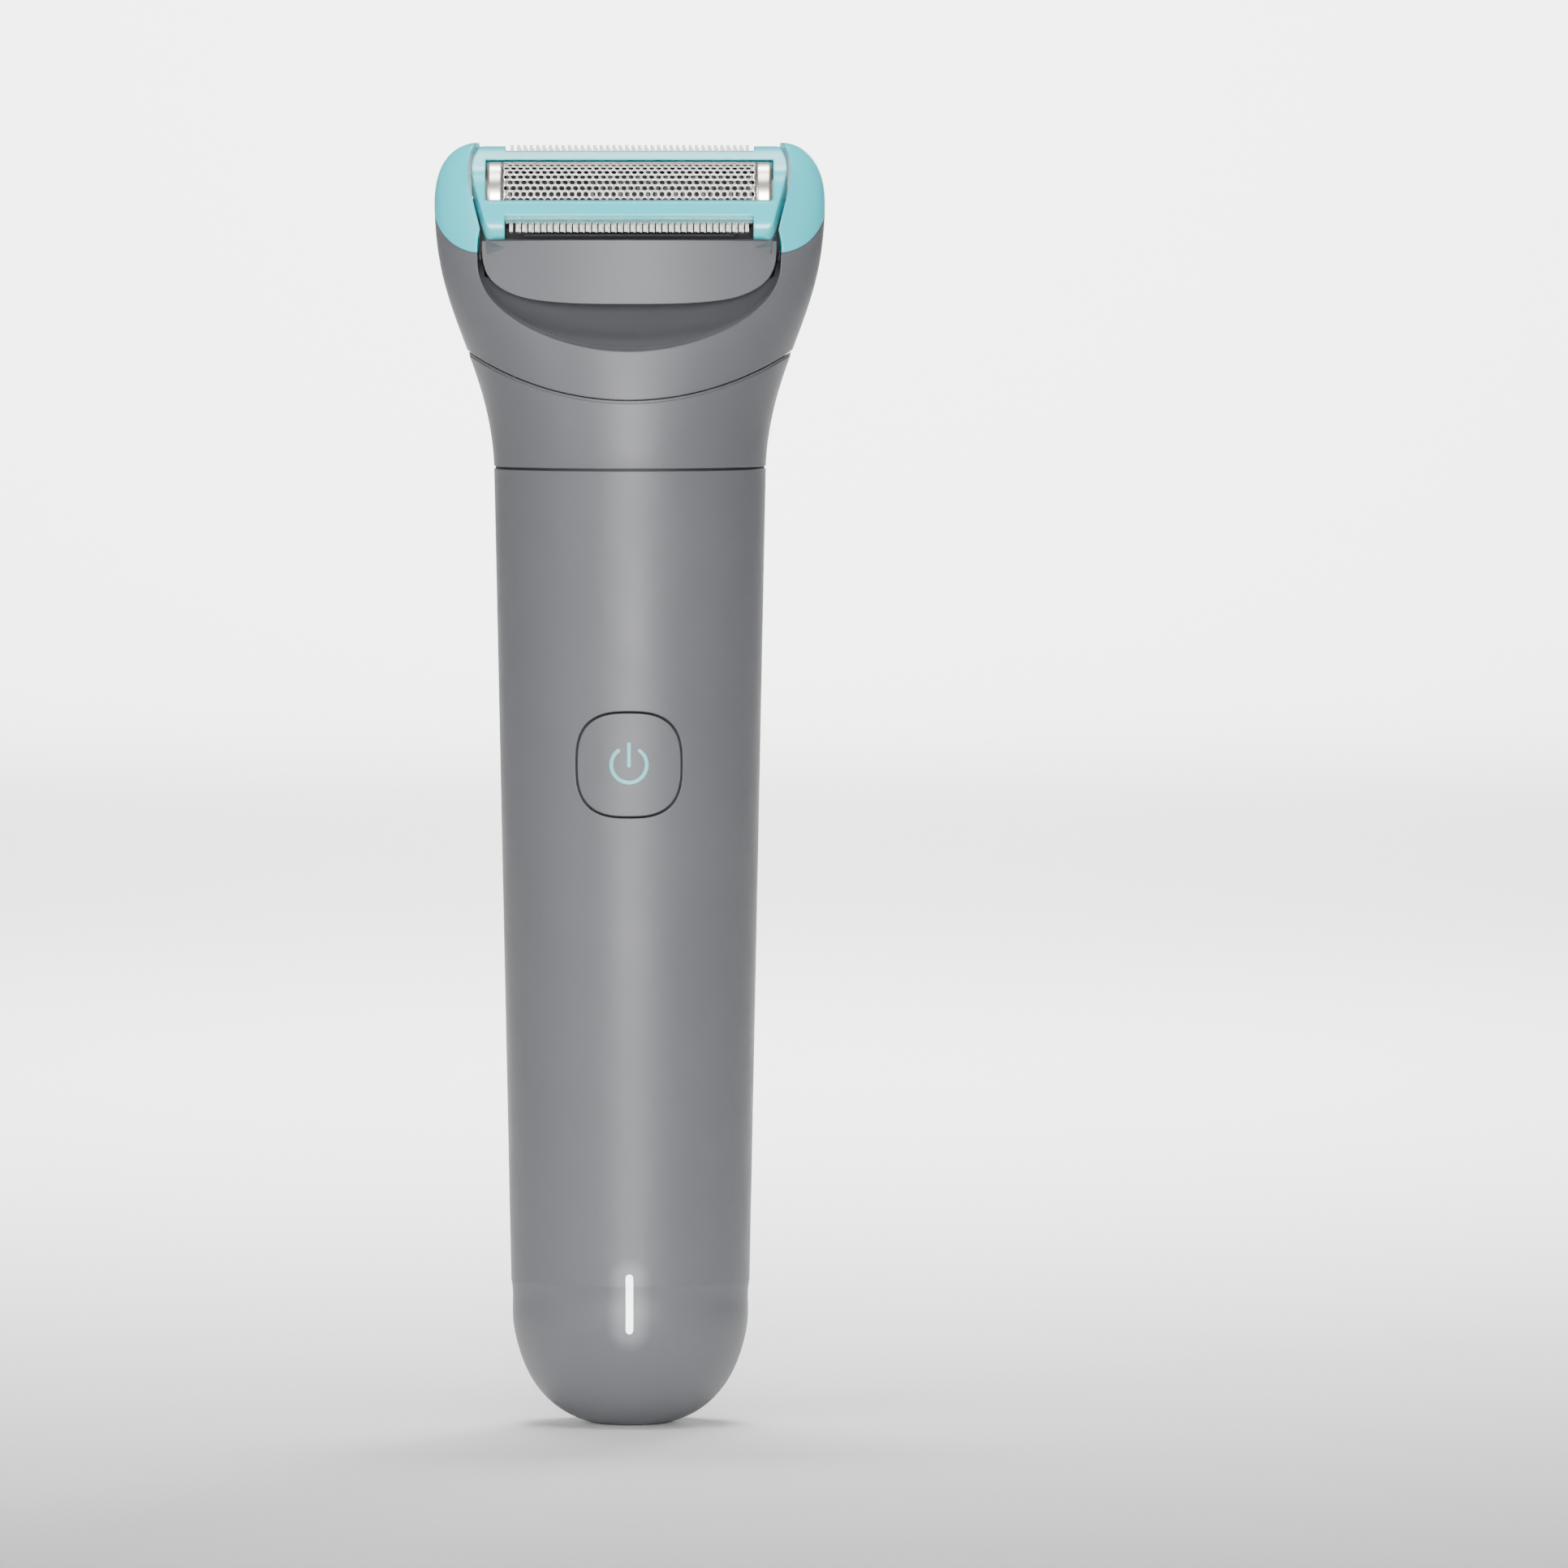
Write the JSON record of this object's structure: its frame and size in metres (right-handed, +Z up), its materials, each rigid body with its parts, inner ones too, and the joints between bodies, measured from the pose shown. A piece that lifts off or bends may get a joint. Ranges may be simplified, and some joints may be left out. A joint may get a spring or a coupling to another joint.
{
  "type": "body groomer",
  "caption": "Cordless body groomer: slim grey handle with a power button and light bar, flared neck, and a tilting teal shaver head with a foil between toothed trimmers.",
  "frame": {"origin": "on the handle's axis in the middle of the hand grip, 70 mm above the base", "axes": "+Z up along the handle towards the shaver head, the front with the power button faces -Y, +X to the right seen from the front"},
  "size_m": [0.051, 0.0307, 0.168],
  "materials": {
    "grey_plastic": "satin, slightly soft-touch grey",
    "teal_plastic": "smooth pale teal",
    "foil_steel": "bright thin stainless foil",
    "blade_steel": "ground stainless steel",
    "dark_rubber": "black elastomer",
    "light_guide_clear": "frosted clear, lit from behind",
    "inner_plastic": "dark grey moulded plastic",
    "drive_plastic": "off-white acetal",
    "board_green": "green board with solder mask",
    "chip_black": "black moulded parts",
    "battery_wrap": "blue shrink sleeve",
    "nickel_strip": "nickel plated",
    "gold_contact": "gold plated",
    "motor_can": "zinc plated steel",
    "screw_steel": "zinc plated",
    "spring_steel": "drawn stainless wire",
    "led_body": "pale lens"
  },
  "bodies": {
    "handle": {"handle_front_shell": "grey_plastic", "handle_back_shell": "grey_plastic", "button_gasket": "dark_rubber", "circuit_board": "board_green", "tact_switch": "chip_black", "board_components": "chip_black", "status_leds": "led_body", "light_guide": "light_guide_clear", "board_screws": "screw_steel", "battery_cell": "battery_wrap", "battery_tabs": "nickel_strip", "inner_chassis": "inner_plastic", "charging_socket": "inner_plastic", "socket_pins": "gold_contact", "socket_seal": "dark_rubber", "drive_motor": "motor_can", "motor_terminals": "gold_contact", "motor_mount": "inner_plastic", "motor_screws": "screw_steel", "drive_flexures": "spring_steel", "drive_seal": "dark_rubber", "neck_seal": "dark_rubber", "neck_collar": "grey_plastic", "neck_trim_ring": "grey_plastic", "head_cradle": "grey_plastic", "left_end_cap": "teal_plastic", "right_end_cap": "teal_plastic", "pivot_pins": "screw_steel", "tilt_springs": "spring_steel"},
    "power_button": {"power_button": "grey_plastic"},
    "rotor": {"motor_shaft": "motor_can", "drive_eccentric": "drive_plastic"},
    "drive_lever": {"drive_lever": "drive_plastic"},
    "tilt_head": {"head_chamber": "grey_plastic", "pivot_bushes": "drive_plastic", "head_catches": "spring_steel"},
    "foil_unit": {"foil_frame": "teal_plastic", "front_trimmer_guard": "blade_steel", "rear_trimmer_guard": "blade_steel"},
    "foil": {"shaving_foil": "foil_steel"},
    "cutter": {"cutter_bridge": "inner_plastic", "front_trimmer_blade": "blade_steel", "rear_trimmer_blade": "blade_steel", "cutter_springs": "spring_steel"},
    "cutter_block": {"cutter_block": "blade_steel"}
  },
  "joints": [
    {"name": "button_press", "type": "slide", "parent": "handle", "child": "power_button", "axis": [0, 1, 0], "range_m": [0, 0.0005], "stiffness_N_per_m": 900, "springref_m": -0.0006},
    {"name": "motor_spin", "type": "hinge", "parent": "handle", "child": "rotor", "pos_m": [0, -0.0025, 0.0655], "axis": [0, 0, 1], "continuous": true},
    {"name": "drive_stroke", "type": "slide", "parent": "handle", "child": "drive_lever", "axis": [1, 0, 0], "range_m": [-0.001, 0.001], "stiffness_N_per_m": 600, "deforming": ["drive_flexures", "drive_seal"]},
    {"name": "head_tilt", "type": "hinge", "parent": "handle", "child": "tilt_head", "pos_m": [0, -0.0025, 0.089], "axis": [1, 0, 0], "range_deg": [-6, 6], "stiffness_Nm_per_rad": 0.08, "deforming": ["tilt_springs"]},
    {"name": "foil_unit_release", "type": "slide", "parent": "tilt_head", "child": "foil_unit", "axis": [0, -0.766, 0.6428], "range_m": [0, 0.03], "deforming": ["head_catches"]},
    {"name": "foil_float", "type": "slide", "parent": "foil_unit", "child": "foil", "axis": [0, 0.766, -0.6428], "range_m": [0, 0.0006], "stiffness_N_per_m": 900, "springref_m": -0.0006},
    {"name": "cutter_stroke", "type": "slide", "parent": "tilt_head", "child": "cutter", "axis": [1, 0, 0], "range_m": [-0.001, 0.001]},
    {"name": "block_float", "type": "slide", "parent": "cutter", "child": "cutter_block", "axis": [0, 0.766, -0.6428], "range_m": [0, 0.0006], "deforming": ["cutter_springs"]}
  ],
  "couplings": [
    {"joint": "cutter_stroke", "follows": "drive_stroke", "ratio": 1},
    {"joint": "block_float", "follows": "foil_float", "ratio": 1}
  ]
}
